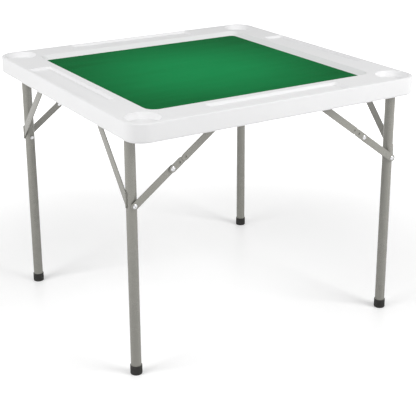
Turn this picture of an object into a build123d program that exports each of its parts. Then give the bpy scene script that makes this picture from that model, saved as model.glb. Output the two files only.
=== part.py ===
from build123d import *
import os
from math import atan2, degrees, hypot

os.makedirs("parts", exist_ok=True)

# Folding card table, standing with its legs open. Millimetres, +Z up.
# The origin is on the floor under the middle of the square top. The long side that faces the
# viewer is -Y, so "front" is -Y, "back" is +Y, "left" is -X and "right" is +X.

# Whole table
table_width = 880.0
table_height = 710.0
rim_height = 50.0

# Moulded top
top_corner_radius = 72.0
rim_top_round = 4.0
rim_bottom_round = 7.0
deck_thickness = 20.0
skirt_wall = 9.0
cup_foot_chamfer = 3.0

# Playing field with its glued felt
field_edge_margin = 94.0
field_depth = 13.0
field_slope_run = 15.0
field_corner_radius = 38.0
felt_thickness = 1.2
felt_edge_gap = 0.5

# Chip trays, one along each side
tray_edge_margin = 8.0
tray_width = 65.0
tray_length = 410.0
tray_depth = 16.0
tray_wall_run = 7.0
tray_corner_radius = 12.0

# Cup holders, one at each corner
cup_edge_distance = 53.0
cup_mouth_radius = 42.5
cup_floor_radius = 37.0
cup_depth = 16.0

# Waffle cells moulded into the underside of the deck, as many as fit between the hinges
cell_side = 70.0
cell_rib = 14.0
cell_depth = 3.2
cell_corner_cut = 12.0

# Steel tube of the leg frames
tube_radius = 14.0
tube_wall = 1.2
hinge_edge_distance = 46.0
left_hinge_drop = 37.0
right_hinge_drop = 41.0
left_leg_edge_distance = 110.0
right_leg_edge_distance = 65.0
weld_gap = 0.05
plug_head_height = 2.0
plug_stub = 9.0
plug_gap = 0.05

# Hinge saddles that hold the cross tubes under the top
saddle_edge_distance = 170.0
saddle_length = 24.0
saddle_strap = 2.0
saddle_flange = 15.0
boss_length = 30.0
tube_running_gap = 0.05

# Rubber foot caps
cap_radius = 16.0
cap_height = 25.0
cap_floor = 4.0
cap_chamfer = 1.0
cap_groove_depth = 0.6
cap_groove_width = 1.6
cap_groove_spacing = 6.0
cap_groove_count = 2
cap_gap = 0.05

# Flat steel bar of the braces
strap_width = 20.0
strap_thickness = 2.5

# Fixed stiffeners between each leg and its cross tube
stiffener_drop = 200.0
stiffener_reach = 165.0
stiffener_rivet_radius = 2.5
stiffener_rivet_head_radius = 4.5
stiffener_rivet_head = 1.6
stiffener_rivet_grip = 2.6

# Folding lock braces: a lower strap on the leg, an upper strap on the top, a knee between
leg_pivot_drop = 200.0
bracket_reach = 270.0
inner_strap_gap = 3.5
strap_pass_gap = 0.4
knee_washer_thickness = 0.8
joggle_near_distance = 29.0
joggle_far_distance = 38.0
lock_hole_radius = 2.6
lock_hole_distance = 22.0
dimple_radius = 3.0
dimple_height = 1.0
dimple_distance = 48.0

# Rivets, bolts and washers of the lock braces
pin_radius = 3.0
pin_running_gap = 0.05
pin_fixed_gap = 0.03
head_side_gap = 0.3
dome_radius = 6.2
dome_height = 2.0
tail_radius = 5.0
tail_height = 1.0
washer_radius = 6.5
nut_across_flats = 10.0
nut_height = 4.0
bolt_end_length = 1.5

# Brackets of the upper straps under the deck
bracket_length = 44.0
bracket_flange = 24.0
bracket_ear_radius = 11.0
bracket_screw_spacing = 26.0

# Screws into the moulded top
screw_radius = 2.0
screw_head_radius = 4.0
screw_head = 1.8
bracket_screw_bite = 3.0
saddle_screw_bite = 11.0

# Shapes of small heads, as shares of their own radius and height
head_chamfer_share = 0.5
dome_shares = [(1, 0), (0.93, 0.42), (0.72, 0.78), (0.38, 1)]

# One overrun for every cut
overrun = 1.0

# Places that follow from the sizes above
half_width = table_width / 2
top_plane = table_height
rim_bottom = table_height - rim_height
deck_bottom = table_height - deck_thickness
hinge_x = half_width - hinge_edge_distance
field_half = half_width - field_edge_margin
cup_place = half_width - cup_edge_distance
tray_place = half_width - tray_edge_margin - tray_width / 2
full_strap_run = hypot(bracket_reach, leg_pivot_drop)
lower_run = (full_strap_run - (bracket_reach - leg_pivot_drop)) / 2
upper_run = full_strap_run - lower_run

# The cells lie in even rows and columns between the bosses that carry the cross tubes
saddle_place = half_width - saddle_edge_distance
boss_half_length = tube_radius + tube_running_gap + saddle_strap + saddle_flange
cell_pitch = cell_side + cell_rib
cell_columns = 2 * int((hinge_x - boss_half_length) / cell_pitch)
cell_rows = 2 * int((saddle_place - boss_length / 2) / cell_pitch)

# The upper strap lies outside the lower one and passes over the head of the leg bolt when the
# leg folds. Its knee end is joggled back towards the lower strap, with a washer between the two.
lower_strap_place = tube_radius + inner_strap_gap
washer_place = lower_strap_place + strap_thickness + head_side_gap
knee_strap_place = washer_place + knee_washer_thickness
upper_strap_place = washer_place + dome_height + strap_pass_gap
joggle_depth = upper_strap_place - knee_strap_place
bracket_ear_place = upper_strap_place - head_side_gap - strap_thickness

sides = {
    "left": {"x": -1, "hinge_z": table_height - left_hinge_drop, "leg_y": half_width - left_leg_edge_distance},
    "right": {"x": 1, "hinge_z": table_height - right_hinge_drop, "leg_y": half_width - right_leg_edge_distance},
}
ends = {"front": -1, "back": 1}
corners = [(end, side) for side in sides for end in ends]


def save(shape, node):
    """Write one piece, or one group of loose like pieces."""
    export_step(shape, f"parts/{node}.step")


def group(pieces):
    """Loose pieces that share a node, as separate solids."""
    return Compound(children=[Part() + piece for piece in pieces])


def tapered_pocket(length, width, radius, run, depth):
    """A moulding pocket that opens at z = 0, with walls that lean in by run at its floor."""
    mouth = RectangleRounded(length, width, radius)
    floor_radius = max(radius - run, radius / 4)
    floor = Pos(0, 0, -depth) * RectangleRounded(length - 2 * run, width - 2 * run, floor_radius)
    pocket = loft([mouth.face(), floor.face()], ruled=True)
    return pocket


def cup_pocket():
    """A round cup holder with a tapered wall and a foot cut at an angle."""
    profile = Polyline((0, 0), (cup_mouth_radius, 0), (cup_floor_radius, -cup_depth),
                       (0, -cup_depth), (0, 0))
    face = make_face(Plane.XZ * profile)
    pocket = revolve(face, Axis.Z)
    foot = pocket.edges().filter_by(GeomType.CIRCLE).sort_by(Axis.Z)[0]
    return chamfer(foot, cup_foot_chamfer)


def hinge_boss(side):
    """The block under the deck that a cross tube turns against, with a half-round seat."""
    place = sides[side]
    drop = deck_bottom - place["hinge_z"]
    block = Box(2 * boss_half_length, boss_length, drop, align=(Align.CENTER, Align.CENTER, Align.MIN))
    seat = Rot(90, 0, 0) * Cylinder(tube_radius + tube_running_gap, boss_length + overrun)
    return block - seat


def saddle_screw_places(side):
    """Where the two screws of each saddle of one side enter the boss, seen from below."""
    place = sides[side]
    reach = tube_radius + tube_running_gap + saddle_strap + saddle_flange / 2
    return [(place["x"] * hinge_x + way * reach, end * saddle_place, place["hinge_z"])
            for end in ends.values() for way in (-1, 1)]


def bracket_screw_places(end, side):
    """Where the two screws of one brace bracket enter the deck."""
    place = sides[side]
    y = ends[end] * (place["leg_y"] + bracket_ear_place + strap_thickness + bracket_flange / 2)
    x = place["x"] * (hinge_x - bracket_reach)
    return [(x + way * bracket_screw_spacing / 2, y, deck_bottom) for way in (-1, 1)]


def tabletop():
    """The white moulded top: rim, field, trays, cups, waffle underside and hinge bosses."""
    outline = RectangleRounded(table_width, table_width, top_corner_radius)
    body = Pos(0, 0, rim_bottom) * extrude(outline, rim_height)
    body = fillet(body.edges().group_by(Axis.Z)[-1], rim_top_round)
    body = fillet(body.edges().group_by(Axis.Z)[0], rim_bottom_round)
    inner = table_width - 2 * skirt_wall
    hollow = extrude(RectangleRounded(inner, inner, top_corner_radius - skirt_wall),
                     rim_height - deck_thickness + overrun)
    body -= Pos(0, 0, rim_bottom - overrun) * hollow
    field = tapered_pocket(2 * field_half, 2 * field_half, field_corner_radius,
                           field_slope_run, field_depth)
    body -= Pos(0, 0, top_plane) * field
    tray = tapered_pocket(tray_length, tray_width, tray_corner_radius, tray_wall_run, tray_depth)
    for turn in range(4):
        body -= Rot(0, 0, 90 * turn) * Pos(0, tray_place, top_plane) * tray
    cup = cup_pocket()
    for x in (-1, 1):
        for y in (-1, 1):
            body -= Pos(x * cup_place, y * cup_place, top_plane) * cup
    square = Rectangle(cell_side, cell_side)
    cell = extrude(chamfer(square.vertices(), cell_corner_cut), cell_depth)
    cells = GridLocations(cell_pitch, cell_pitch, cell_columns, cell_rows)
    body -= [Pos(0, 0, deck_bottom) * spot * cell for spot in cells]
    for side, place in sides.items():
        for end in ends.values():
            body += Pos(place["x"] * hinge_x, end * saddle_place, place["hinge_z"]) * hinge_boss(side)
    for side in sides:
        for x, y, z in saddle_screw_places(side):
            body -= Pos(x, y, z) * pilot(saddle_screw_bite)
    for end, side in corners:
        for x, y, z in bracket_screw_places(end, side):
            body -= Pos(x, y, z) * pilot(bracket_screw_bite)
    return body


def pilot(bite):
    """The hole that one screw cuts, upwards from the face it enters."""
    return Cylinder(screw_radius + pin_fixed_gap, bite + pin_fixed_gap,
                    align=(Align.CENTER, Align.CENTER, Align.MIN))


def felt_mat():
    """The green felt, glued to the floor of the playing field."""
    side = 2 * (field_half - field_slope_run - felt_edge_gap)
    sheet = extrude(RectangleRounded(side, side, field_corner_radius - field_slope_run), felt_thickness)
    return Pos(0, 0, top_plane - field_depth) * sheet


def hinge_saddle(end, side):
    """An omega strap that wraps under the cross tube, with two flat flanges."""
    place = sides[side]
    bore = tube_radius + tube_running_gap
    outer = bore + saddle_strap
    half_length = outer + saddle_flange
    ring = Circle(outer) - Circle(bore)
    lower_half = Pos(0, -outer / 2) * Rectangle(2 * outer, outer)
    flange = Pos(0, -saddle_strap / 2) * Rectangle(2 * half_length, saddle_strap) - Circle(bore)
    profile = Plane.XZ * ((ring & lower_half) + flange)
    strap = Pos(0, saddle_length / 2, 0) * extrude(profile, saddle_length)
    for way in (-1, 1):
        hole = Cylinder(screw_radius + pin_fixed_gap, 2 * saddle_strap + overrun)
        strap -= Pos(way * (outer + saddle_flange / 2), 0, -saddle_strap) * hole
    return Pos(place["x"] * hinge_x, ends[end] * saddle_place, place["hinge_z"]) * strap


def screw(grip, bite):
    """A pan-head screw driven upwards: z = 0 is where it enters the moulded top."""
    shank = Pos(0, 0, -grip) * Cylinder(screw_radius, grip + bite,
                                        align=(Align.CENTER, Align.CENTER, Align.MIN))
    head = Pos(0, 0, -grip) * Cylinder(screw_head_radius, screw_head,
                                       align=(Align.CENTER, Align.CENTER, Align.MAX))
    head = chamfer(head.edges().group_by(Axis.Z)[0], screw_head * head_chamfer_share)
    return shank + head


def brace_bracket(end, side):
    """An angle bracket: a flange under the deck and an ear that carries the upper strap."""
    place = sides[side]
    drop = deck_bottom - place["hinge_z"]
    ear_face = (Pos(0, drop / 2) * Rectangle(2 * bracket_ear_radius, drop)) + Circle(bracket_ear_radius)
    ear_face -= Circle(pin_radius + pin_fixed_gap)
    shoulder = Pos(0, drop - strap_thickness / 2) * Rectangle(bracket_length, strap_thickness)
    ear = extrude(Plane.XZ * (ear_face + shoulder), -strap_thickness)
    flange = Box(bracket_length, bracket_flange + strap_thickness, strap_thickness,
                 align=(Align.CENTER, Align.MIN, Align.MAX))
    flange = fillet(flange.edges().filter_by(Axis.Z).group_by(Axis.Y)[-1], bracket_flange / 4)
    bracket = ear + Pos(0, 0, drop) * flange
    for way in (-1, 1):
        hole = Cylinder(screw_radius + pin_fixed_gap, 2 * strap_thickness + overrun)
        spot = Pos(way * bracket_screw_spacing / 2, strap_thickness + bracket_flange / 2, drop)
        bracket -= spot * hole
    turn = 0 if ends[end] > 0 else 180
    x = place["x"] * (hinge_x - bracket_reach)
    y = ends[end] * (place["leg_y"] + bracket_ear_place)
    return Pos(x, y, place["hinge_z"]) * Rot(0, 0, turn) * bracket


def hollow_tube(length):
    """A length of the leg tube along Z, from z = 0 up."""
    low = (Align.CENTER, Align.CENTER, Align.MIN)
    bore = Pos(0, 0, -overrun) * Cylinder(tube_radius - tube_wall, length + 2 * overrun, align=low)
    return Cylinder(tube_radius, length, align=low) - bore


def cross_tube(side):
    """The tube along Y that turns in the saddles, with holes for the stiffener rivets."""
    place = sides[side]
    length = 2 * (place["leg_y"] + tube_radius)
    tube = Rot(90, 0, 0) * Pos(0, 0, -length / 2) * hollow_tube(length)
    for end in ends.values():
        hole = Rot(0, 90, 0) * Cylinder(stiffener_rivet_radius + pin_fixed_gap, 2 * tube_wall + overrun)
        y = end * (place["leg_y"] - stiffener_reach)
        tube -= Pos(place["x"] * tube_radius, y, 0) * hole
    return Pos(place["x"] * hinge_x, 0, place["hinge_z"]) * tube


def cross_tube_plug(end, side):
    """A push-in plug that closes one end of a cross tube."""
    place = sides[side]
    low = (Align.CENTER, Align.CENTER, Align.MIN)
    head = Cylinder(tube_radius, plug_head_height, align=low)
    head = chamfer(head.edges().group_by(Axis.Z)[-1], plug_head_height * head_chamfer_share)
    stub = Pos(0, 0, -plug_stub) * Cylinder(tube_radius - tube_wall - plug_gap, plug_stub, align=low)
    plug = Rot(-90 * ends[end], 0, 0) * (head + stub)
    y = ends[end] * (place["leg_y"] + tube_radius)
    return Pos(place["x"] * hinge_x, y, place["hinge_z"]) * plug


def leg_place(end, side):
    """Foot of one leg's axis on the floor."""
    return sides[side]["x"] * hinge_x, ends[end] * sides[side]["leg_y"]


def leg(end, side):
    """A leg tube, coped at the top to fit round the cross tube it is welded to."""
    place = sides[side]
    length = place["hinge_z"] - cap_floor
    tube = Pos(0, 0, cap_floor) * hollow_tube(length)
    cope = Rot(90, 0, 0) * Cylinder(tube_radius + weld_gap, 4 * tube_radius)
    tube -= Pos(0, 0, place["hinge_z"]) * cope
    bolt_hole = Rot(90, 0, 0) * Cylinder(pin_radius + pin_fixed_gap, 4 * tube_radius)
    tube -= Pos(0, 0, place["hinge_z"] - leg_pivot_drop) * bolt_hole
    rivet_hole = Rot(0, 90, 0) * Cylinder(stiffener_rivet_radius + pin_fixed_gap, 2 * tube_wall + overrun)
    tube -= Pos(place["x"] * tube_radius, 0, place["hinge_z"] - stiffener_drop) * rivet_hole
    x, y = leg_place(end, side)
    return Pos(x, y, 0) * tube


def foot_cap(end, side):
    """A rubber cap over the tube end, with a solid floor and shallow V grooves."""
    low = (Align.CENTER, Align.CENTER, Align.MIN)
    cap = Cylinder(cap_radius, cap_height, align=low)
    cap = chamfer(cap.edges().group_by(Axis.Z)[0] + cap.edges().group_by(Axis.Z)[-1], cap_chamfer)
    bore = Pos(0, 0, cap_floor) * Cylinder(tube_radius + cap_gap, cap_height, align=low)
    cap -= bore
    groove = Polyline((cap_radius - cap_groove_depth, 0), (cap_radius, cap_groove_width / 2),
                      (cap_radius + overrun, cap_groove_width / 2), (cap_radius + overrun, -cap_groove_width / 2),
                      (cap_radius, -cap_groove_width / 2), (cap_radius - cap_groove_depth, 0))
    ring = revolve(make_face(Plane.XZ * groove), Axis.Z)
    for count in range(cap_groove_count):
        height = cap_height - cap_groove_spacing * (count + 1)
        cap -= Pos(0, 0, height) * ring
    x, y = leg_place(end, side)
    return Pos(x, y, 0) * cap


def stiffener(end, side):
    """A flat bar from the leg up to the cross tube, across the outside of both."""
    place = sides[side]
    rise = stiffener_drop
    inward = -ends[end] * stiffener_reach
    run = hypot(rise, stiffener_reach)
    outline = SlotCenterToCenter(run, strap_width)
    for way in (-1, 1):
        outline -= Pos(way * run / 2, 0) * Circle(stiffener_rivet_radius + pin_fixed_gap)
    middle = (place["x"] * (hinge_x + tube_radius), ends[end] * place["leg_y"] + inward / 2,
              place["hinge_z"] - rise / 2)
    plane = Plane(origin=middle, x_dir=(0, inward, rise), z_dir=(place["x"], 0, 0))
    return extrude(plane * outline, strap_thickness)


def stiffener_rivet(y, z, side):
    """A blind rivet through the bar and one wall of the tube, along X."""
    place = sides[side]
    low = (Align.CENTER, Align.CENTER, Align.MIN)
    head = Pos(0, 0, strap_thickness) * Cylinder(stiffener_rivet_head_radius, stiffener_rivet_head, align=low)
    head = chamfer(head.edges().group_by(Axis.Z)[-1], stiffener_rivet_head * head_chamfer_share)
    shank = Pos(0, 0, -stiffener_rivet_grip) * Cylinder(stiffener_rivet_radius,
                                                        stiffener_rivet_grip + strap_thickness, align=low)
    turned = Rot(0, 90 * place["x"], 0) * (head + shank)
    return Pos(place["x"] * (hinge_x + tube_radius), y, z) * turned


def brace_point(side, reach, drop):
    """A point of a lock brace: reach inwards from the hinge axis and drop below it."""
    place = sides[side]
    return place["x"] * (hinge_x - reach), place["hinge_z"] - drop


def knee_point(side):
    """Where the two straps of a lock brace meet when the leg stands."""
    along = lower_run / full_strap_run
    return brace_point(side, bracket_reach * along, leg_pivot_drop * (1 - along))


def brace_plane(end, side, point, offset):
    """A plane at a strap's inner face: its X runs up along the brace and its Z points outwards."""
    place = sides[side]
    x, z = point
    y = ends[end] * (place["leg_y"] + offset)
    direction = (-place["x"] * bracket_reach, 0, leg_pivot_drop)
    return Plane(origin=(x, y, z), x_dir=direction, z_dir=(0, ends[end], 0))


def lower_strap(end, side):
    """The straight strap from the leg bolt to the knee."""
    plane = brace_plane(end, side, brace_point(side, 0, leg_pivot_drop), lower_strap_place)
    outline = Pos(lower_run / 2, 0) * SlotCenterToCenter(lower_run, strap_width)
    outline -= Circle(pin_radius + pin_running_gap)
    outline -= Pos(lower_run, 0) * Circle(pin_radius + pin_fixed_gap)
    return plane.location * extrude(outline, strap_thickness)


def upper_strap(end, side):
    """The strap from the knee to its bracket, joggled in towards the lower strap at the knee."""
    plane = brace_plane(end, side, knee_point(side), upper_strap_place)
    outline = Pos(upper_run / 2, 0) * SlotCenterToCenter(upper_run, strap_width)
    outline -= Circle(pin_radius + pin_fixed_gap)
    outline -= Pos(upper_run, 0) * Circle(pin_radius + pin_running_gap)
    outline -= Pos(lock_hole_distance, 0) * Circle(lock_hole_radius)
    blank = Pos(0, 0, -joggle_depth) * extrude(outline, strap_thickness + joggle_depth)
    back_end = -strap_width
    far_end = upper_run + strap_width
    profile = Polyline((back_end, -joggle_depth), (joggle_near_distance, -joggle_depth),
                       (joggle_far_distance, 0), (far_end, 0), (far_end, strap_thickness),
                       (joggle_far_distance, strap_thickness),
                       (joggle_near_distance, strap_thickness - joggle_depth),
                       (back_end, strap_thickness - joggle_depth), (back_end, -joggle_depth))
    bent = Pos(0, strap_width, 0) * extrude(make_face(Plane.XZ * profile), 2 * strap_width)
    strap = blank & bent
    dimple = Pos(dimple_distance, 0, strap_thickness) * Cone(
        dimple_radius, dimple_radius - dimple_height, dimple_height,
        align=(Align.CENTER, Align.CENTER, Align.MIN))
    strap += dimple
    return plane.location * strap


def dome(radius, height):
    """A low domed rivet head that sits on z = 0, turned in three straight cuts."""
    rim = [(radius * across, height * up) for across, up in dome_shares]
    outline = Polyline((0, 0), *rim, (0, height), (0, 0))
    return revolve(make_face(Plane.XZ * outline), Axis.Z)


def knee_rivet_head(end, side):
    """The outer half of the knee rivet, with its domed head, in the upper strap and the washer."""
    plane = brace_plane(end, side, knee_point(side), washer_place)
    grip = knee_washer_thickness + strap_thickness
    shank = Cylinder(pin_radius, grip, align=(Align.CENTER, Align.CENTER, Align.MIN))
    return plane.location * (shank + Pos(0, 0, grip) * dome(dome_radius, dome_height))


def knee_rivet_tail(end, side):
    """The inner half of the knee rivet, with its flat tail, in the lower strap."""
    plane = brace_plane(end, side, knee_point(side), lower_strap_place)
    shank = Cylinder(pin_radius, strap_thickness, align=(Align.CENTER, Align.CENTER, Align.MIN))
    tail = Cylinder(tail_radius, tail_height, align=(Align.CENTER, Align.CENTER, Align.MAX))
    return plane.location * (shank + tail)


def knee_washer(end, side):
    """The ring on the knee rivet that keeps the two straps apart."""
    plane = brace_plane(end, side, knee_point(side), washer_place)
    ring = Circle(washer_radius) - Circle(pin_radius + pin_fixed_gap)
    return plane.location * extrude(ring, knee_washer_thickness)


def bracket_rivet(end, side):
    """The pivot of an upper strap: its tail inside the bracket's ear, its head outside the strap."""
    plane = brace_plane(end, side, brace_point(side, bracket_reach, 0), bracket_ear_place)
    grip = 2 * strap_thickness + 2 * head_side_gap
    shank = Cylinder(pin_radius, grip, align=(Align.CENTER, Align.CENTER, Align.MIN))
    tail = Cylinder(tail_radius, tail_height, align=(Align.CENTER, Align.CENTER, Align.MAX))
    return plane.location * (shank + tail + Pos(0, 0, grip) * dome(tail_radius, tail_height))


def leg_bolt(end, side):
    """The bolt through a leg that the lower strap turns on, with its domed head outside."""
    plane = brace_plane(end, side, brace_point(side, 0, leg_pivot_drop), 0)
    low = (Align.CENTER, Align.CENTER, Align.MIN)
    start = -tube_radius - nut_height - bolt_end_length
    shank = Pos(0, 0, start) * Cylinder(pin_radius, washer_place - start, align=low)
    return plane.location * (shank + Pos(0, 0, washer_place) * dome(dome_radius, dome_height))


def leg_nut(end, side):
    """The hexagon nut on the inner side of a leg."""
    plane = brace_plane(end, side, brace_point(side, 0, leg_pivot_drop), -tube_radius - nut_height)
    outline = RegularPolygon(nut_across_flats / 2, 6, major_radius=False)
    nut = extrude(outline - Circle(pin_radius + pin_fixed_gap), nut_height)
    return plane.location * nut


def leg_spacer(end, side):
    """The bush that holds the lower strap off the round side of a leg."""
    plane = brace_plane(end, side, brace_point(side, 0, leg_pivot_drop), tube_radius)
    ring = Circle(washer_radius) - Circle(pin_radius + pin_fixed_gap)
    return plane.location * extrude(ring, lower_strap_place - tube_radius - head_side_gap)


# The top and what is screwed to it
save(tabletop(), "tabletop")
save(felt_mat(), "felt_mat")
for end, side in corners:
    save(hinge_saddle(end, side), f"hinge_saddle_{end}_{side}")
    save(brace_bracket(end, side), f"brace_bracket_{end}_{side}")
saddle_spots = [Pos(*spot) for side in sides for spot in saddle_screw_places(side)]
save(group([spot * screw(saddle_strap, saddle_screw_bite) for spot in saddle_spots]), "saddle_screws")
bracket_spots = [Pos(*spot) for end, side in corners for spot in bracket_screw_places(end, side)]
save(group([spot * screw(strap_thickness, bracket_screw_bite) for spot in bracket_spots]), "bracket_screws")
save(group([bracket_rivet(end, side) for end, side in corners]), "bracket_rivets")

# The two leg frames
for side, place in sides.items():
    save(cross_tube(side), f"cross_tube_{side}")
    save(group([cross_tube_plug(end, side) for end in ends]), f"cross_tube_plugs_{side}")
    rivet_spots = []
    for end in ends:
        save(leg(end, side), f"leg_{end}_{side}")
        save(foot_cap(end, side), f"foot_cap_{end}_{side}")
        save(stiffener(end, side), f"stiffener_{end}_{side}")
        rivet_spots.append((ends[end] * place["leg_y"], place["hinge_z"] - stiffener_drop))
        rivet_spots.append((ends[end] * (place["leg_y"] - stiffener_reach), place["hinge_z"]))
    save(group([stiffener_rivet(y, z, side) for y, z in rivet_spots]), f"stiffener_rivets_{side}")
    save(group([leg_bolt(end, side) for end in ends]), f"leg_bolts_{side}")
    save(group([leg_nut(end, side) for end in ends]), f"leg_nuts_{side}")
    save(group([leg_spacer(end, side) for end in ends]), f"leg_spacers_{side}")

# The four folding lock braces
for end, side in corners:
    save(lower_strap(end, side), f"lower_strap_{end}_{side}")
    save(upper_strap(end, side), f"upper_strap_{end}_{side}")
    save(knee_rivet_head(end, side), f"knee_rivet_head_{end}_{side}")
    save(knee_rivet_tail(end, side), f"knee_rivet_tail_{end}_{side}")
    save(knee_washer(end, side), f"knee_washer_{end}_{side}")

lower_turn = degrees(atan2(bracket_reach, leg_pivot_drop))
print(f"lower strap turns {lower_turn:.3f} degrees on the leg while the leg folds 90")
print(f"knee at {knee_point('left')}, runs {lower_run:.2f} and {upper_run:.2f}")
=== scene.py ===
from math import atan2, hypot, pi, radians, sin, tan

import bmesh
import bpy
import numpy as np
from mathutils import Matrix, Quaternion, Vector
from mathutils.geometry import tessellate_polygon


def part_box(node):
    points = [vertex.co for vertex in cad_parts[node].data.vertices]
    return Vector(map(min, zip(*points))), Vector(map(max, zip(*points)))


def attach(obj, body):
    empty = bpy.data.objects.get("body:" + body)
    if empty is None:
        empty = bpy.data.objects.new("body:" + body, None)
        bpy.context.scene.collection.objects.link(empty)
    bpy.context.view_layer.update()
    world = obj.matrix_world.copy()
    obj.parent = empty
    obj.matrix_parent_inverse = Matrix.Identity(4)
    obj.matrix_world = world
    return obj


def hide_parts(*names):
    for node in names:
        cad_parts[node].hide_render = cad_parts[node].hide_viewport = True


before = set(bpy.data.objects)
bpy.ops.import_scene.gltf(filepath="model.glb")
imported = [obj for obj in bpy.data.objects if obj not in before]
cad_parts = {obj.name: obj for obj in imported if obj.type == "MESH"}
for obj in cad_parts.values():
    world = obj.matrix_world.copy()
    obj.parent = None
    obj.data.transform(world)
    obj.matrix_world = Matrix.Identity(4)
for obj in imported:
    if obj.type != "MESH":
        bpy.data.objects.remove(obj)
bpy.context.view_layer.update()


# The moulded top
# One hollow shell of white polyethylene, blow-moulded in a single piece. The playing field, chip trays
# and cup holders are sunk into its deck, its rim turns down, and waffle cells stiffen the underside.
corners = [(end, side) for side in ("left", "right") for end in ("front", "back")]
way = {"front": -1, "back": 1, "left": -1, "right": 1}
top_low, top_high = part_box("tabletop")
half_top = top_high.x
deck_top = top_high.z
rim_bottom = top_low.z
deck_thickness = 0.020
deck_underside = deck_top - deck_thickness
top_corner_radius = 0.050
rim_border = 0.0055
rim_top_round = 0.004
rim_bottom_round = 0.007
skirt_wall = 0.009
skirt_border = 0.003
skirt_lip_round = 0.0012
skirt_root_round = 0.0015
flat_border = 0.0024
field_half = half_top - 0.094
field_corner_radius = 0.030
field_run = 0.015
field_depth = 0.013
field_lip_round = 0.003
tray_place = half_top - 0.0405
tray_half_length = 0.205
tray_half_width = 0.0325
tray_corner_radius = 0.009
tray_run = 0.0035
tray_depth = 0.0075
cup_place = half_top - 0.055
cup_mouth_radius = 0.045
cup_run = 0.0055
cup_depth = 0.016
pocket_lip_round = 0.0022
pocket_foot_round = 0.0030
foot_round_share = 0.9
cell_columns = 8
cell_rows = 6
cell_pitch = 0.084
cell_half = 0.035
cell_corner_radius = 0.012
cell_run = 0.0012
cell_depth = 0.0032
cell_round = 0.0008
boss_half_length = 0.03105
boss_half_width = 0.015
tube_radius = 0.014
tube_gap = 0.00005
saddle_place = 0.270
hinge_x = half_top - 0.046
hinge_z = {"left": deck_top - 0.037, "right": deck_top - 0.041}
merge_distance = 2e-6
sharp_angle = radians(38)
dull_white = (0.800, 0.800, 0.806, 1)
clean_white = (0.845, 0.845, 0.848, 1)


def rounded(points, rounds, steps=5):
    """A profile whose inner points become arcs: the centre lies r / sin(half the angle) from the point
    on its bisector, and the arc turns between the two places where it touches the sides."""
    points = np.array(points, float)
    line = [points[:1]]
    for before, corner, after, r in zip(points, points[1:], points[2:], rounds):
        a = (before - corner) / np.linalg.norm(before - corner)
        b = (after - corner) / np.linalg.norm(after - corner)
        half = np.arccos(np.clip(a @ b, -1, 1)) / 2
        centre = corner + (a + b) / np.linalg.norm(a + b) * r / sin(half)
        start = corner + a * r / tan(half) - centre
        finish = corner + b * r / tan(half) - centre
        whole = atan2(start[0] * finish[1] - start[1] * finish[0], start @ finish)
        turn = np.linspace(0, whole, steps + 1)
        side = np.array([-start[1], start[0]])
        line.append(centre + np.outer(np.cos(turn), start) + np.outer(np.sin(turn), side))
    line.append(points[-1:])
    return np.concatenate(line)


def rounded_rectangle(half_x, half_y, radius, steps=8):
    """The way round a rounded rectangle: at each step the centre of its corner arc and the unit
    direction from there outwards, which turns once round."""
    quarter = np.linspace(0, pi / 2, steps + 1)
    angles = np.concatenate([quarter + turn * pi / 2 for turn in range(4)])
    outwards = np.stack([np.cos(angles), np.sin(angles)], 1)
    signs = np.repeat([[1, 1], [-1, 1], [-1, -1], [1, -1]], steps + 1, axis=0)
    return signs * [half_x - radius, half_y - radius], outwards


def carried(path, radius, profile):
    """A profile of (inset, height) carried round a path: centre + (radius - inset) outwards."""
    centres, outwards = path
    flat = centres[:, None] + (radius - profile[:, 0])[None, :, None] * outwards[:, None]
    heights = np.broadcast_to(profile[None, :, 1], flat.shape[:2])
    return np.dstack([flat, heights])


def ring_part(points):
    """Quads between neighbouring points of a grid whose rows close on themselves."""
    count, steps = points.shape[:2]
    i, j = np.meshgrid(np.arange(count), np.arange(steps - 1), indexing="ij")
    here = i * steps + j
    beside = (i + 1) % count * steps + j
    faces = np.stack([here, beside, beside + 1, here + 1], -1).reshape(-1, 4)
    return points.reshape(-1, 3), faces.tolist()


def flat_part(outlines):
    """A flat face inside the first outline, with the others as holes."""
    loops = [[Vector(point) for point in outline.tolist()] for outline in outlines]
    return np.concatenate(outlines), [list(face) for face in tessellate_polygon(loops)]


def dressed(name, parts, finish, body, nodes):
    """One piece from its parts: doubles merged, faces turned outwards, smooth but for real corners."""
    vertices, faces, start = [], [], 0
    for points, part_faces in parts:
        vertices.append(points)
        faces += [[start + index for index in face] for face in part_faces]
        start += len(points)
    mesh = bpy.data.meshes.new(name)
    mesh.from_pydata(np.concatenate(vertices).tolist(), [], faces)
    solid = bmesh.new()
    solid.from_mesh(mesh)
    bmesh.ops.remove_doubles(solid, verts=solid.verts, dist=merge_distance)
    bmesh.ops.recalc_face_normals(solid, faces=solid.faces)
    solid.to_mesh(mesh)
    solid.free()
    mesh.shade_smooth()
    mesh.set_sharp_from_angle(angle=sharp_angle)
    mesh.materials.append(finish.material)
    piece = bpy.data.objects.new(name, mesh)
    bpy.context.scene.collection.objects.link(piece)
    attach(piece, body)
    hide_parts(*nodes)
    return piece


class Value:
    """An output of a node tree. Arithmetic on it adds Math nodes to that tree."""

    def __init__(self, owner, socket):
        self.owner = owner
        self.socket = socket

    def maths(self, operation, first, second):
        return self.owner.node("ShaderNodeMath", {"operation": operation}, {0: first, 1: second})

    def __add__(self, other):
        return self.maths("ADD", self, other)

    def __sub__(self, other):
        return self.maths("SUBTRACT", self, other)

    def __rsub__(self, other):
        return self.maths("SUBTRACT", other, self)

    def __mul__(self, other):
        return self.maths("MULTIPLY", self, other)

    __radd__ = __add__
    __rmul__ = __mul__


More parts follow.
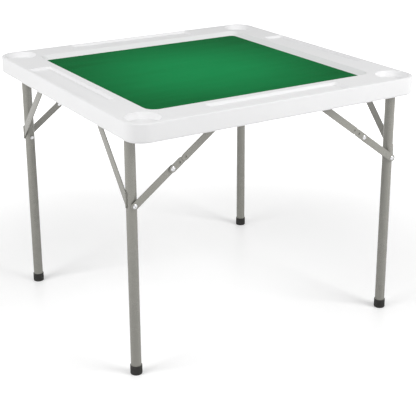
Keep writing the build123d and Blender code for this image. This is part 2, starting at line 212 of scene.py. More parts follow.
class Nodes:
    """A node tree whose nodes all come from one method."""

    def __init__(self, tree):
        self.tree = tree

    def feed(self, node, values):
        """Sets or links sockets of a node."""
        for key, value in values.items():
            if isinstance(value, Value):
                self.tree.links.new(value.socket, node.inputs[key])
            else:
                node.inputs[key].default_value = value

    def node(self, kind, settings=None, values=None, output=0):
        """A node of this type: first its settings are set, then its sockets. Gives one of its outputs."""
        node = self.tree.nodes.new(kind)
        for key, setting in (settings or {}).items():
            setattr(node, key, setting)
        self.feed(node, values or {})
        return Value(self, node.outputs[output])


class Finish(Nodes):
    """A named material on one Principled shader."""

    def __init__(self, name, look):
        self.material = bpy.data.materials.new(name)
        self.material.use_nodes = True
        super().__init__(self.material.node_tree)
        self.shader = self.tree.nodes["Principled BSDF"]
        self.place = self.node("ShaderNodeTexCoord", output="Object")
        self.feed(self.shader, look)

    def noise(self, scale, detail=3.0, stretch=(1.0, 1.0, 1.0), roughness=0.5):
        """Noise on the piece's own coordinates, scaled along each axis by stretch."""
        place = self.node("ShaderNodeMapping", {}, {"Vector": self.place, "Scale": stretch})
        return self.node("ShaderNodeTexNoise", {}, {"Vector": place, "Scale": scale, "Detail": detail,
                                                    "Roughness": roughness})

    def mix(self, factor, first, second):
        """One colour into another by a factor."""
        return self.node("ShaderNodeMix", {"data_type": "RGBA"}, {0: factor, 6: first, 7: second}, output=2)

    def raised(self, height, distance):
        """A bump of this height map into the shader's normal."""
        bump = self.node("ShaderNodeBump", {}, {"Height": height, "Distance": distance})
        self.feed(self.shader, {"Normal": bump})


def moulded_plastic():
    """White polyethylene with a fine leathery grain and a soft satin sheen."""
    finish = Finish("moulded_white", {"IOR": 1.5, "Specular IOR Level": 0.22})
    cloud = finish.noise(7.0, 3.0)
    grain = finish.noise(900.0, 2.0)
    pebble = finish.noise(330.0, 2.0)
    finish.feed(finish.shader, {
        "Base Color": finish.mix(cloud, dull_white, clean_white),
        "Roughness": cloud * 0.10 + grain * 0.06 + 0.42,
    })
    finish.raised(grain * 0.5 + pebble, 0.00012)
    return finish


def pocket(x, y, half_x, half_y, radius, run, depth, lip, foot, level):
    """A pocket sunk (or, with a negative depth, raised) from a flat level: its wall from a flat border
    over a rounded lip down to a rounded foot, and its floor. Gives the parts and the mouth's outline."""
    profile = rounded([(-flat_border, 0), (0, 0), (run, -depth), (run + foot, -depth)],
                      [lip, foot * foot_round_share])
    wall = carried(rounded_rectangle(half_x, half_y, radius), radius, profile) + [x, y, level]
    return [ring_part(wall), flat_part([wall[:, -1]])], wall[:, 0]


def hinge_boss(x, y, axis, steps=24):
    """A block under the deck with a half-round seat: its outline in X and Z, carried along Y."""
    seat = tube_radius + tube_gap
    turn = np.linspace(0, pi, steps + 1)
    arc = np.stack([x + seat * np.cos(turn), axis + seat * np.sin(turn)], 1)
    outline = np.concatenate([[(x + boss_half_length, axis)], arc, [(x - boss_half_length, axis)],
                              [(x - boss_half_length, deck_underside), (x + boss_half_length, deck_underside)]])
    ends = [np.insert(outline, 1, y + reach, axis=1) for reach in (-boss_half_width, boss_half_width)]
    return [ring_part(np.stack(ends, 1)), flat_part([ends[0]]), flat_part([ends[1]])]


rim_profile = rounded([(rim_border, deck_top), (0, deck_top), (0, rim_bottom), (skirt_wall, rim_bottom),
                       (skirt_wall, deck_underside), (skirt_wall + skirt_border, deck_underside)],
                      [rim_top_round, rim_bottom_round, skirt_lip_round, skirt_root_round], steps=7)
rim_path = rounded_rectangle(half_top, half_top, top_corner_radius, steps=16)
rim = carried(rim_path, top_corner_radius, rim_profile)
top_parts = [ring_part(rim)]
field_wall = (field_corner_radius, field_run, field_depth, field_lip_round, pocket_foot_round)
tray_wall = (tray_corner_radius, tray_run, tray_depth, pocket_lip_round, pocket_foot_round)
cup_wall = (cup_mouth_radius, cup_run, cup_depth, pocket_lip_round, pocket_foot_round)
cell_wall = (cell_corner_radius, cell_run, -cell_depth, cell_round, cell_round)
sunk = [(0, 0, field_half, field_half, *field_wall)]
for sign in (-1, 1):
    sunk.append((0, sign * tray_place, tray_half_length, tray_half_width, *tray_wall))
    sunk.append((sign * tray_place, 0, tray_half_width, tray_half_length, *tray_wall))
    for other in (-1, 1):
        sunk.append((sign * cup_place, other * cup_place, cup_mouth_radius, cup_mouth_radius, *cup_wall))
mouths = [rim[:, 0]]
for sizes in sunk:
    parts, mouth = pocket(*sizes, deck_top)
    top_parts += parts
    mouths.append(mouth)
top_parts.append(flat_part(mouths))
cell_mouths = [rim[:, -1]]
for column in range(cell_columns):
    for row in range(cell_rows):
        x = (column - (cell_columns - 1) / 2) * cell_pitch
        y = (row - (cell_rows - 1) / 2) * cell_pitch
        parts, mouth = pocket(x, y, cell_half, cell_half, *cell_wall, deck_underside)
        top_parts += parts
        cell_mouths.append(mouth)
top_parts.append(flat_part(cell_mouths))
for end, side in corners:
    top_parts += hinge_boss(way[side] * hinge_x, way[end] * saddle_place, hinge_z[side])
white = moulded_plastic()
dressed("moulded_top", top_parts, white, "top", ["tabletop"])


# The felt mat
# A square of short-napped green felt, cut with round corners and glued to the floor of the field.
# Its colour carries painted sheen: lighter in the middle, darker towards the edge, and in faint
# streaks along the nap. The surface rises and falls by a tenth of a millimetre.
felt_low, felt_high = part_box("felt_mat")
felt_half = felt_high.x
felt_corner_radius = 0.015
felt_corner_steps = 6
felt_edge_round = 0.0006
felt_edge_steps = 3
felt_swell = 0.00012
felt_waves_x = 61
felt_waves_y = 47
felt_bend = 1.3
felt_bend_waves = 23
felt_fade = 8
felt_rings = 44
felt_side_steps = 30
deep_green = (0.0009, 0.090, 0.018, 1)
bright_green = (0.0068, 0.300, 0.084, 1)


def felt_surface():
    """Rings of the mat's outline scaled towards its middle: z is the sheet's top plus swell *
    sin(a x + bend * sin(b y)) * sin(c y), which fades at the edge, and the last ring turns down over a
    small round to the glue."""
    centres, outwards = rounded_rectangle(felt_half, felt_half, felt_corner_radius, felt_corner_steps)
    corner = (centres + felt_corner_radius * outwards).reshape(4, felt_corner_steps + 1, 2)
    steps = np.linspace(0, 1, felt_side_steps, endpoint=False)[None, :, None]
    sides = corner[:, -1:] * (1 - steps) + np.roll(corner[:, :1], -1, 0) * steps
    outline = np.concatenate([corner[:, :-1], sides], 1).reshape(-1, 2)
    share = np.linspace(1 / felt_rings, 1, felt_rings)[::-1]
    share = np.concatenate([share[:1] * (1 - felt_edge_round / felt_half), share[1:]])
    flat = outline[:, None] * share[None, :, None]
    fade = np.clip((1 - share) * felt_fade, 0, 1)
    bend = felt_bend * np.sin(flat[..., 1] * felt_bend_waves)
    swell = np.sin(flat[..., 0] * felt_waves_x + bend) * np.sin(flat[..., 1] * felt_waves_y)
    sheet_top = felt_high.z - felt_swell
    top = np.dstack([flat, sheet_top + felt_swell * swell * fade])
    turn = np.linspace(0, pi / 2, felt_edge_steps + 1)[1:]
    inset = felt_edge_round * (1 - np.sin(turn))
    edge_flat = outline[:, None] * (1 - inset / felt_half)[None, :, None]
    edge_z = sheet_top - felt_edge_round * (1 - np.cos(turn))
    edge = np.dstack([edge_flat, np.broadcast_to(edge_z, edge_flat.shape[:2])])
    foot = edge[:, -1:] * [1, 1, 0] + [0, 0, felt_low.z]
    return np.concatenate([foot, edge[:, ::-1], top], 1)


def felt_finish():
    """Green felt: loose fibres in the bump, cloudy dye, and painted sheen in the colour, lighter in the middle,
    darker towards the edge and in streaks along the nap.
    """
    finish = Finish("green_felt", {"Roughness": 0.95, "Specular IOR Level": 0.04, "Sheen Weight": 0.05,
                                   "Sheen Roughness": 0.45, "Sheen Tint": (0.35, 0.85, 0.50, 1)})
    fibre = finish.noise(1500.0, 4.0, (1.0, 0.55, 1.0), 0.65)
    lint = finish.noise(420.0, 3.0)
    # painted sheen: lighter and darker streaks along the nap, painted into the colour
    painted_sheen_streak = finish.noise(9.0, 3.0, (0.5, 4.5, 1.0))
    dye = finish.noise(4.0, 2.0)
    # painted sheen: a smooth step by distance from the middle paints the felt lighter there and darker towards
    # its edge
    flat_place = finish.node("ShaderNodeMapping", {}, {"Vector": finish.place, "Scale": (1.0, 1.0, 0.0)})
    distance = finish.node("ShaderNodeVectorMath", {"operation": "LENGTH"}, {0: flat_place}, output="Value")
    middle = finish.node("ShaderNodeMapRange", {"interpolation_type": "SMOOTHSTEP"}, {
        "Value": distance, "From Min": 0.05, "From Max": 0.44, "To Min": 1.0, "To Max": 0.0})
    # the colour mixes painted sheen (the lighter middle and the streaks) with the real cloudy dye and fibres
    tone = middle * 0.62 + painted_sheen_streak * 0.26 + dye * 0.16 + fibre * 0.22 - 0.14
    finish.feed(finish.shader, {"Base Color": finish.mix(tone, deep_green, bright_green)})
    finish.raised(fibre + lint * 0.6, 0.0005)
    return finish


felt_grid = felt_surface()
felt_faces = [ring_part(felt_grid), flat_part([felt_grid[:, 0]]), flat_part([felt_grid[:, -1]])]
felt = dressed("felt", felt_faces, felt_finish(), "top", ["felt_mat"])


# The leg frames
# Two U-shaped frames of 28 mm steel tube, powder-coated warm grey. Each cross tube turns in saddles
# under the top, its legs are coped round it and welded, and black plugs close its ends.
tube_bore = 0.0128
tube_end_round = 0.0003
tube_steps = 64
leg_y = {"left": half_top - 0.110, "right": half_top - 0.065}
leg_foot = 0.004
plug_height = 0.002
plug_stub = 0.009
plug_rounds = [0.0014, 0.0002, 0.0001, 0.0004]
bead_radius = 0.0016
bead_ripple = 0.12
dark_grey = (0.234, 0.230, 0.205, 1)
light_grey = (0.262, 0.258, 0.233, 1)
deep_black = (0.012, 0.012, 0.012, 1)
scuffed_black = (0.030, 0.030, 0.030, 1)


def powder_coat():
    """Warm silver-grey powder coat on steel, with the faint orange peel that such a coat dries to."""
    finish = Finish("grey_powder_coat", {"Metallic": 0.18, "Specular IOR Level": 0.5})
    cloud = finish.noise(11.0, 3.0)
    peel = finish.noise(520.0, 2.0)
    speck = finish.noise(2600.0, 1.0)
    finish.feed(finish.shader, {
        "Base Color": finish.mix(cloud * 0.8 + speck * 0.2, dark_grey, light_grey),
        "Roughness": cloud * 0.06 + speck * 0.04 + 0.22,
    })
    finish.raised(peel, 0.00002)
    return finish


def black_plastic():
    """Black moulded plastic, matt, a little scuffed."""
    finish = Finish("black_plastic", {"Specular IOR Level": 0.4})
    scuff = finish.noise(240.0, 4.0)
    finish.feed(finish.shader, {
        "Base Color": finish.mix(scuff, deep_black, scuffed_black),
        "Roughness": scuff * 0.2 + 0.40,
    })
    finish.raised(scuff, 0.00008)
    return finish


def turned(profile, steps=48):
    """A profile of (radius, height) turned once round Z: x = r cos a, y = r sin a, z = height."""
    profile = np.asarray(profile, float)
    angles = np.linspace(0, 2 * pi, steps, endpoint=False)[:, None]
    heights = np.broadcast_to(profile[:, 1], (steps, len(profile)))
    return np.dstack([np.cos(angles) * profile[:, 0], np.sin(angles) * profile[:, 0], heights])


def laid(points):
    """Points turned round Z, laid over so that their axis runs along Y: y and z change places."""
    return points[..., [0, 2, 1]]


def leg_tube(axis):
    """The inner and the outer wall of a leg round its own axis. The top of each follows the cross tube,
    at z = axis - sqrt(R^2 - (r cos a)^2)."""
    angles = np.linspace(0, 2 * pi, tube_steps, endpoint=False)
    rows = []
    for radius, shares in ((tube_bore, (0, 1)), (tube_radius, (1, 0.5, 0))):
        x = radius * np.cos(angles)
        top = axis - np.sqrt((tube_radius + tube_gap) ** 2 - x ** 2)
        for share in shares:
            rows.append(np.stack([x, radius * np.sin(angles), leg_foot + share * (top - leg_foot)], 1))
    return np.stack(rows + rows[:1], 1)


def bead(line, outwards, steps=10):
    """A weld bead on a closed line: at its point i a circle of radius r (1 + ripple * sin(i pi / 2)),
    spanned by the outward direction and the line's own normal to it."""
    along = np.roll(line, -1, 0) - np.roll(line, 1, 0)
    side = np.cross(along, outwards)
    side /= np.linalg.norm(side, axis=1)[:, None]
    up = np.cross(side, along)
    up /= np.linalg.norm(up, axis=1)[:, None]
    radius = bead_radius * (1 + bead_ripple * np.sin(np.arange(len(line)) * pi / 2))[:, None, None]
    angles = np.linspace(0, 2 * pi, steps)[None, :, None]
    return line[:, None] + radius * (np.cos(angles) * up[:, None] + np.sin(angles) * side[:, None])


def leg_weld(axis, steps=96):
    """The bead on the line where a leg meets its cross tube: z = axis - R |sin a| at radius R."""
    angles = np.linspace(0, 2 * pi, steps, endpoint=False)
    outwards = np.stack([np.cos(angles), np.sin(angles), np.zeros(steps)], 1)
    line = outwards * tube_radius
    line[:, 2] = axis - tube_radius * np.abs(np.sin(angles))
    return bead(line, outwards)


grey = powder_coat()
black = black_plastic()
plug_profile = rounded([(0, plug_height), (tube_radius, plug_height), (tube_radius, 0),
                        (tube_bore - tube_gap, 0), (tube_bore - tube_gap, -plug_stub), (0, -plug_stub)],
                       plug_rounds, steps=4)
plug_grid = laid(turned(plug_profile))
for side in ("left", "right"):
    x, axis = way[side] * hinge_x, hinge_z[side]
    half = leg_y[side] + tube_radius
    wall = rounded([(tube_bore, 0), (tube_bore, half), (tube_radius, half), (tube_radius, 0)],
                   [tube_end_round, tube_end_round], steps=2)
    cross = laid(turned(np.concatenate([wall, wall[::-1] * (1, -1)]), tube_steps)) + (x, 0, axis)
    dressed(f"cross_tube_{side}", [ring_part(cross)], grey, f"{side}_leg_frame",
            [f"cross_tube_{side}"])
    plugs = []
    for end in ("front", "back"):
        plugs.append(ring_part(plug_grid * (1, way[end], 1) + (x, way[end] * half, axis)))
        place = (x, way[end] * leg_y[side], 0)
        leg = [ring_part(leg_tube(axis) + place), ring_part(leg_weld(axis) + place)]
        dressed(f"leg_{end}_{side}", leg, grey, f"{side}_leg_frame",
                [f"leg_{end}_{side}"])
    dressed(f"tube_plugs_{side}", plugs, black, f"{side}_leg_frame",
            [f"cross_tube_plugs_{side}"])


# The stiffeners
# A flat steel bar in each corner of a leg frame, with rolled edges, from the outer side of the leg up
# to the outer side of the cross tube. A weld bead runs round both of its ends.
bar_half = 0.010
bar_thickness = 0.0025
bar_edge = 0.0007
edge_points = 7
stiffener_half = 0.0125
stiffener_drop = 0.182
stiffener_reach = 0.163
stiffener_overlap = 0.003
stiffener_lean = 0.0025
stiffener_sections = 9
weld_steps = 5
shortest_step = 1e-5


def bar_section(across=2):
    """A bar's section as two sums: v = a (half - e) + b e and w = c (thickness / 2 - e) + d e, where e
    is the edge's radius. Gives a, b, c and d for every point round the section. The middle point of
    each round edge goes with the outer face."""
    flat = np.linspace(-1, 1, across)
    turn = np.linspace(pi / 2, -pi / 2, edge_points + 2)[1:-1]
    bow, rise = np.cos(turn), np.sin(turn)
    nudge = 1e-9
    a = np.concatenate([flat, np.ones(edge_points), -flat, -np.ones(edge_points)])
    b = np.concatenate([0 * flat, bow, 0 * flat, -bow])
    c = np.concatenate([1 + 0 * flat, np.sign(rise + nudge), -1 + 0 * flat, -np.sign(rise - nudge)])
    d = np.concatenate([1 + 0 * flat, rise, -1 + 0 * flat, -rise])
    return a, b, c, d


def stiffener_parts(end, side):
    """Straight lines along the bar, one from each point of its section. Each starts in the foot's plane,
    y = leg + overlap, and ends where (x - x0)^2 + (z - z0)^2 = R^2 on the cross tube. Gives the bar's
    parts and the beads round its two ends."""
    x, y, axis = way[side] * hinge_x, way[end] * leg_y[side], hinge_z[side]
    foot = np.array([x + way[side] * (tube_radius + bar_thickness / 2), y, axis - stiffener_drop])
    head = np.array([foot[0] - way[side] * stiffener_lean, y - way[end] * stiffener_reach, axis])
    along = head - foot
    along /= np.linalg.norm(along)
    across = np.cross(along, (way[side], 0, 0))
    across /= np.linalg.norm(across)
    out = np.cross(across, along)
    a, b, c, d = bar_section()
    v = a * (stiffener_half - bar_edge) + b * bar_edge
    w = c * (bar_thickness / 2 - bar_edge) + d * bar_edge
    line = foot + v[:, None] * across + w[:, None] * out
    first = (y + way[end] * stiffener_overlap - line[:, 1]) / along[1]
    gap = line[:, [0, 2]] - (x, axis)
    slope = along[[0, 2]]
    square = slope @ slope
    cross = gap @ slope
    depth = np.maximum(cross ** 2 - square * ((gap ** 2).sum(1) - tube_radius ** 2), 0)
    last = (-cross - np.sqrt(depth)) / square
    share = np.linspace(0, 1, stiffener_sections)
    reach = first[:, None] + share * (last - first)[:, None]
    grid = line[:, None] + reach[..., None] * along
    bar = [ring_part(grid), flat_part([grid[:, 0]]), flat_part([grid[:, -1]])]
    steps = np.linspace(0, 1, weld_steps, endpoint=False)[None, :, None]
    beads = []
    for loop in (grid[:, 0], grid[:, -1]):
        fine = (loop[:, None] + (np.roll(loop, -1, 0) - loop)[:, None] * steps).reshape(-1, 3)
        fine = fine[np.linalg.norm(np.roll(fine, -1, 0) - fine, axis=1) > shortest_step]
        beads.append(ring_part(bead(fine, fine - loop.mean(0))))
    return bar, beads


for side in ("left", "right"):
    welds = []
    for end in ("front", "back"):
        bar, beads = stiffener_parts(end, side)
        welds += beads
        dressed(f"stiffener_{end}_{side}", bar, grey, f"{side}_leg_frame",
                [f"stiffener_{end}_{side}"])
    dressed(f"stiffener_welds_{side}", welds, grey, f"{side}_leg_frame",
            [f"stiffener_rivets_{side}"])


# The foot caps
# Black rubber caps pushed over the tube ends, with a thick floor, a rolled top lip and fine upright
# flutes round the side for grip.
cap_radius = 0.016
cap_height = 0.025
cap_floor = 0.004
cap_foot_round = 0.0016
cap_lip_round = 0.0011
cap_mouth_round = 0.0006
cap_floor_round = 0.0005
flute_low = 0.0035
flute_high = 0.0225
flute_run = 0.0012
flute_depth = 0.0007
flute_count = 36
flute_steps = 8
flute_sections = 8
same_place = 1e-6
worn_rubber = (0.007, 0.007, 0.006, 1)
dusty_rubber = (0.026, 0.025, 0.022, 1)


def rubber():
    """Dull black rubber, dusty where it has rubbed the floor."""
    finish = Finish("black_rubber", {"Specular IOR Level": 0.35})
    dust = finish.noise(160.0, 4.0)
    finish.feed(finish.shader, {
        "Base Color": finish.mix(dust, worn_rubber, dusty_rubber),
        "Roughness": dust * 0.18 + 0.30,
    })
    finish.raised(dust, 0.00010)
    return finish


def foot_cap():
    """A turned cap whose side is pressed in by depth * (1 - |sin(n a / 2)|) between its foot and its lip,
    so that n round ribs stand between sharp flutes, each fading out at both ends."""
    bore = tube_radius + tube_gap
    lower = rounded([(0, 0), (cap_radius, 0), (cap_radius, flute_low)], [cap_foot_round], steps=4)
    side = np.linspace(flute_low, flute_high, flute_sections)
    side = np.unique(np.concatenate([side, (flute_low + flute_run, flute_high - flute_run)]))
    upper = rounded([(cap_radius, flute_high), (cap_radius, cap_height), (bore, cap_height),
                     (bore, cap_floor), (0, cap_floor)],
                    [cap_lip_round, cap_mouth_round, cap_floor_round], steps=4)
    profile = np.concatenate([lower, np.stack([0 * side + cap_radius, side], 1)[1:-1], upper])
    steps = flute_count * flute_steps
    grid = turned(profile, steps)
    angles = np.linspace(0, 2 * pi, steps, endpoint=False)
    dent = (1 - np.abs(np.sin(flute_count * angles / 2))) * flute_depth
    rise = np.clip((profile[:, 1] - flute_low) / flute_run, 0, 1)
    rise *= np.clip((flute_high - profile[:, 1]) / flute_run, 0, 1)
    rise[profile[:, 0] < cap_radius - same_place] = 0
    grid[..., :2] *= (1 - dent[:, None] * rise / cap_radius)[..., None]
    return grid


soft_black = rubber()
cap_grid = foot_cap()
for end, side in corners:
    place = (way[side] * hinge_x, way[end] * leg_y[side], 0)
    dressed(f"foot_cap_{end}_{side}", [ring_part(cap_grid + place)], soft_black, f"{side}_leg_frame",
            [f"foot_cap_{end}_{side}"])


# The lock braces
# Two flat steel straps for each leg, with rolled edges. The lower one turns on a bolt through the leg
# and the upper one on a bracket. The knee end of the upper strap is bent in towards the lower one, and
# it has a pressed pit and a pressed dimple for the lock.
pivot_drop = 0.200
bracket_reach = 0.270
full_run = hypot(bracket_reach, pivot_drop)
lower_run = (full_run - bracket_reach + pivot_drop) / 2
upper_run = full_run - lower_run
lower_place = 0.0175
washer_place = 0.0203
washer_thickness = 0.0008
upper_place = 0.0227
joggle_depth = 0.0016
joggle_near = 0.0325
joggle_far = 0.0345
pit_place = 0.024
pit_radius = 0.0026
pit_depth = 0.0021
pit_edge = 0.0002
dimple_place = 0.045
dimple_radius = 0.0025
dimple_depth = 0.0020
dimple_edge = 0.0003
waist_place = 0.0365
waist_length = 0.004
waist_depth = 0.0016
end_sections = 9
run_sections = 12
fine_from = 0.018
fine_to = 0.052
fine_sections = 86
fine_columns = 45
plain_columns = 5


def smooth(value):
    """The cubic step 3 t^2 - 2 t^3 from 0 to 1."""
    value = np.clip(value, 0, 1)
    return value * value * (3 - 2 * value)


def well(u, v, place, radius, depth, edge):
    """How deep a round well round (place, 0) lies at u and v: its whole depth up to radius - edge from
    there, and nothing past radius + edge."""
    away = np.hypot(u - place, v)
    return depth * (1 - smooth((away - radius + edge) / (2 * edge)))


def on_brace(end, side, reach, drop, out, points):
    """Places points of (along, across, outwards) on a brace: from a point so far in from the hinge axis,
    below it and out from the leg's middle, up along the line of the opened brace."""
    along = np.array([-way[side] * bracket_reach, 0, pivot_drop]) / full_run
    outwards = np.array([0, way[end], 0])
    across = np.cross(outwards, along)
    start = np.array([way[side] * (hinge_x - reach), way[end] * (leg_y[side] + out), hinge_z[side] - drop])
    return start + points[..., :1] * along + points[..., 1:2] * across + points[..., 2:] * outwards


def strap(run, fine):
    """A strap with round ends as sections along it: the half width is sqrt(r^2 - u^2) past both pivots.
    A fine one has three more forms. Its waist takes depth * exp(-t^2) off the half width, its joggle
    lifts a section by depth * step, and its pit and its dimple are wells in the outer face."""
    round_end = np.linspace(0, pi / 2, end_sections)
    along = np.concatenate([-bar_half * np.cos(round_end), np.linspace(0, run, run_sections),
                            run + bar_half * np.sin(round_end)])
    if fine:
        along = np.concatenate([along, np.linspace(fine_from, fine_to, fine_sections)])
    along = np.unique(along.round(6))
    past = np.maximum(np.maximum(-along, along - run), 0)
    half = np.sqrt(np.maximum(bar_half ** 2 - past ** 2, 0))
    if fine:
        half = half - waist_depth * np.exp(-((along - waist_place) / waist_length) ** 2)
    edge = np.minimum(bar_edge, half)
    a, b, c, d = (part[:, None] for part in bar_section(fine_columns if fine else plain_columns))
    v = a * (half - edge) + b * edge
    w = bar_thickness / 2 + c * (bar_thickness / 2 - edge) + d * edge
    u = np.broadcast_to(along, v.shape)
    if fine:
        outer_face = d == 1
        w = w + joggle_depth * (smooth((u - joggle_near) / (joggle_far - joggle_near)) - 1)
        w = w - well(u, v, pit_place, pit_radius, pit_depth, pit_edge) * outer_face
        w = w - well(u, v, dimple_place, dimple_radius, dimple_depth, dimple_edge) * outer_face
    return np.dstack([u, v, w])


def coat(node, finish):
    """Gives a carried-over CAD node this finish."""
    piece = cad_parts[node]
    piece.data.materials.clear()
    piece.data.materials.append(finish.material)


lower_grid = strap(lower_run, False)
upper_grid = strap(upper_run, True)
knee_share = lower_run / full_run
knee = (bracket_reach * knee_share, pivot_drop * (1 - knee_share))
for end, side in corners:
    lower = on_brace(end, side, 0, pivot_drop, lower_place, lower_grid)
    dressed(f"lower_strap_{end}_{side}", [ring_part(lower)], grey, f"lower_brace_{end}_{side}",
            [f"lower_strap_{end}_{side}"])
    upper = on_brace(end, side, *knee, upper_place, upper_grid)
    dressed(f"upper_strap_{end}_{side}", [ring_part(upper)], grey, f"upper_brace_{end}_{side}",
            [f"upper_strap_{end}_{side}"])
    for kind in ("hinge_saddle", "brace_bracket"):
        coat(f"{kind}_{end}_{side}", grey)


# The rivets, bolts, nuts, washers and screws
# Bright zinc-plated steel. The knee rivets and leg bolts have low domed heads with a small hollow in
# the middle, left by the tool that formed them. The leg bolts have hexagon nuts on the inner side.
pin_radius = 0.003
dome_radius = 0.0062
dome_height = 0.002
dome_fall = 0.80
dome_power = 2.4
dome_sections = 10
dome_foot_share = 0.97
hollow_radius = 0.0015
hollow_depth = 0.0011
hollow_floor_share = 0.85
tail_radius = 0.005
tail_height = 0.001
tail_side_share = 0.6
tail_face_share = 0.9
ring_radius = 0.0065
ring_round = 0.0002
nut_half = 0.005
nut_height = 0.004
nut_face_share = 0.96
nut_cone = radians(30)
nut_steps = 72
bolt_tip = 0.0055
seat_gap = 0.0003
rivet_steps = 40
dull_zinc = (0.46, 0.46, 0.47, 1)
bright_zinc = (0.60, 0.60, 0.61, 1)


def zinc_plate():
    """Bright zinc plate, finely brushed by tumbling."""
    finish = Finish("bright_zinc", {"Metallic": 1.0})
    haze = finish.noise(300.0, 3.0)
    finish.feed(finish.shader, {
        "Base Color": finish.mix(haze, dull_zinc, bright_zinc),
        "Roughness": haze * 0.14 + 0.16,
    })
    finish.raised(haze, 0.00003)
    return finish


def headed(shank, radius, height, hollow):
    """A pin from -shank to 0 under a domed head: height * (1 - fall (r / radius)^power) above a thin rim,
    with a flat-bottomed hollow of this radius in its middle, or none at 0."""
    r = np.linspace(radius, hollow, dome_sections)
    crown = np.stack([r, height * (1 - dome_fall * (r / radius) ** dome_power)], 1)
    bottom = height - hollow_depth
    middle = [(hollow * hollow_floor_share, bottom), (0, bottom)] if hollow else []
    pin = [(0, -shank), (pin_radius, -shank), (pin_radius, 0), (radius * dome_foot_share, 0)]
    return np.concatenate([pin, crown, np.reshape(middle, (-1, 2))])


def nut():
    """A hexagon nut: its side stands at half / cos(a) from the axis, with a turned from each face's
    middle, and a cone from just inside the inscribed circle takes its outer corners down."""
    angles = np.linspace(0, 2 * pi, nut_steps, endpoint=False)
    side = nut_half / np.cos((angles + pi / 6) % (pi / 3) - pi / 6)
    level = 0 * side
    bore = level + pin_radius
    face = level + nut_half * nut_face_share
    drop = (side - face) * tan(nut_cone)
    rings = [(bore, level), (side, level), (side, nut_height - drop), (face, level + nut_height),
             (bore, level + nut_height), (bore, level)]
    return np.stack([np.stack([r * np.cos(angles), r * np.sin(angles), z], 1) for r, z in rings], 1)


def ring(inner, outer, height):
    """A flat ring with slightly rounded outer edges, closed round its section."""
    line = rounded([(inner, 0), (outer, 0), (outer, height), (inner, height)], [ring_round, ring_round],
                   steps=2)
    return turned(np.concatenate([line, line[:1]]), rivet_steps)


zinc = zinc_plate()
knee_head = headed(washer_thickness + bar_thickness, dome_radius, dome_height, hollow_radius)
knee_tail = [(0, bar_thickness), (pin_radius, bar_thickness), (pin_radius, 0), (tail_radius, 0),
             (tail_radius, -tail_height * tail_side_share), (tail_radius * tail_face_share, -tail_height),
             (0, -tail_height)]
knee_pieces = {
    "knee_rivet_head": ("upper", washer_place + washer_thickness + bar_thickness,
                        turned(knee_head, rivet_steps)),
    "knee_washer": ("upper", washer_place, ring(pin_radius, ring_radius, washer_thickness)),
    "knee_rivet_tail": ("lower", lower_place, turned(knee_tail, rivet_steps)),
}
for end, side in corners:
    for kind, (strap_name, out, grid) in knee_pieces.items():
        placed = on_brace(end, side, *knee, out, grid)
        dressed(f"{kind}_{end}_{side}", [ring_part(placed)], zinc, f"{strap_name}_brace_{end}_{side}",
                [f"{kind}_{end}_{side}"])
leg_bolt = headed(washer_place + tube_radius + bolt_tip, dome_radius, dome_height, hollow_radius)
leg_pieces = {
    "leg_bolts": (washer_place, turned(leg_bolt, rivet_steps)),
    "leg_nuts": (-tube_radius, nut() * (1, 1, -1)),
    "leg_spacers": (tube_radius, ring(pin_radius, ring_radius, lower_place - tube_radius - seat_gap)),
}
for side in ("left", "right"):
    for kind, (out, grid) in leg_pieces.items():
        parts = [ring_part(on_brace(end, side, 0, pivot_drop, out, grid)) for end in ("front", "back")]
        dressed(f"{kind}_{side}", parts, zinc, f"{side}_leg_frame", [f"{kind}_{side}"])
bracket_pin = turned(headed(2 * bar_thickness + 2 * seat_gap, tail_radius, tail_height, 0), rivet_steps)
pin_place = upper_place + bar_thickness + seat_gap
pins = [ring_part(on_brace(end, side, bracket_reach, 0, pin_place, bracket_pin)) for end, side in corners]
dressed("bracket_rivets", pins, zinc, "top", ["bracket_rivets"])
for kind in ("saddle_screws", "bracket_screws"):
    coat(kind, zinc)


# The studio
# A pale seamless floor, one large soft lamp on each side of the camera, and a camera where the
# photograph was taken from.
floor_half = 30.0
floor_white = (0.90, 0.90, 0.90, 1)
pure_white = (1, 1, 1, 1)
lamp_size = 1.8
air_light = 0.40
table_middle = (0.0, 0.0, 0.5)


def background_rays(nodes):
    """1 on the rays that show the background, straight, mirrored or through glass, and 0 on those by
    which floor and air light the table."""
    camera_ray, glossy_ray, transmission_ray = (nodes.node("ShaderNodeLightPath", output=f"Is {kind} Ray")
                                                for kind in ("Camera", "Glossy", "Transmission"))
    return camera_ray + glossy_ray + transmission_ray


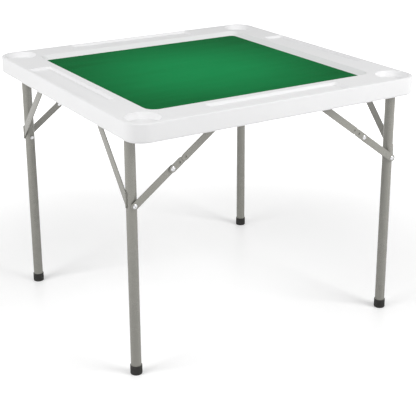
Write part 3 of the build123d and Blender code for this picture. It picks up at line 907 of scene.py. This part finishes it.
def floor_finish():
    """Pale floor that keeps the table's shadow, with a glow for the background rays alone, faint under
    the table and nearly white from 2.2 m off."""
    finish = Finish("studio_floor", {"Base Color": floor_white, "Roughness": 0.35,
                                     "Specular IOR Level": 0.25})
    away = finish.node("ShaderNodeVectorMath", {"operation": "LENGTH"}, {0: finish.place}, output="Value")
    level = finish.node("ShaderNodeMapRange", {"interpolation_type": "SMOOTHSTEP"}, {
        "Value": away, "From Min": 0.5, "From Max": 2.2, "To Min": 0.19, "To Max": 0.9})
    glow = finish.node("ShaderNodeEmission", {}, {
        "Color": pure_white, "Strength": background_rays(finish) * level}, output="Emission")
    both = finish.node("ShaderNodeAddShader", {}, {0: Value(finish, finish.shader.outputs[0]), 1: glow})
    finish.feed(finish.tree.nodes["Material Output"], {"Surface": both})
    return finish


floor_mesh = bpy.data.meshes.new("floor")
floor_corners = [(x * floor_half, y * floor_half, 0) for x, y in ((-1, -1), (1, -1), (1, 1), (-1, 1))]
floor_mesh.from_pydata(floor_corners, [], [(0, 1, 2, 3)])
floor_mesh.materials.append(floor_finish().material)
floor = bpy.data.objects.new("floor", floor_mesh)
bpy.context.scene.collection.objects.link(floor)


def lamp(name, place, power):
    """A square soft lamp that looks at the middle of the table."""
    light = bpy.data.lights.new(name, "AREA")
    light.shape = "SQUARE"
    light.size = lamp_size
    light.energy = power
    body = bpy.data.objects.new(name, light)
    body.location = place
    body.rotation_mode = "QUATERNION"
    body.rotation_quaternion = (Vector(table_middle) - Vector(place)).to_track_quat("-Z", "Y")
    bpy.context.scene.collection.objects.link(body)


lamp("left_lamp", (-3.0, -0.1, 2.4), 59.0)
lamp("front_lamp", (1.7, -2.8, 2.4), 75.0)

world = bpy.data.worlds.new("studio_air")
bpy.context.scene.world = world
world.use_nodes = True
air = Nodes(world.node_tree)
strength = air.node("ShaderNodeMapRange", {}, {
    "Value": background_rays(air), "To Min": air_light, "To Max": 1.0})
air.feed(air.tree.nodes["Background"], {"Color": pure_white, "Strength": strength})

camera_data = bpy.data.cameras.new("camera")
camera_data.sensor_width = 36.0
camera_data.lens = 87.4
camera_data.shift_y = -0.1394
camera = bpy.data.objects.new("camera", camera_data)
camera.location = (-1.4461, -2.4155, 1.3846)
camera.rotation_mode = "QUATERNION"
camera_aim = Vector((0.4951, 0.8099, -0.3145)).to_track_quat("-Z", "Y")
camera.rotation_quaternion = camera_aim @ Quaternion((0, 0, 1), -0.0048)
bpy.context.scene.collection.objects.link(camera)
bpy.context.scene.camera = camera
bpy.context.scene.view_settings.view_transform = "Standard"
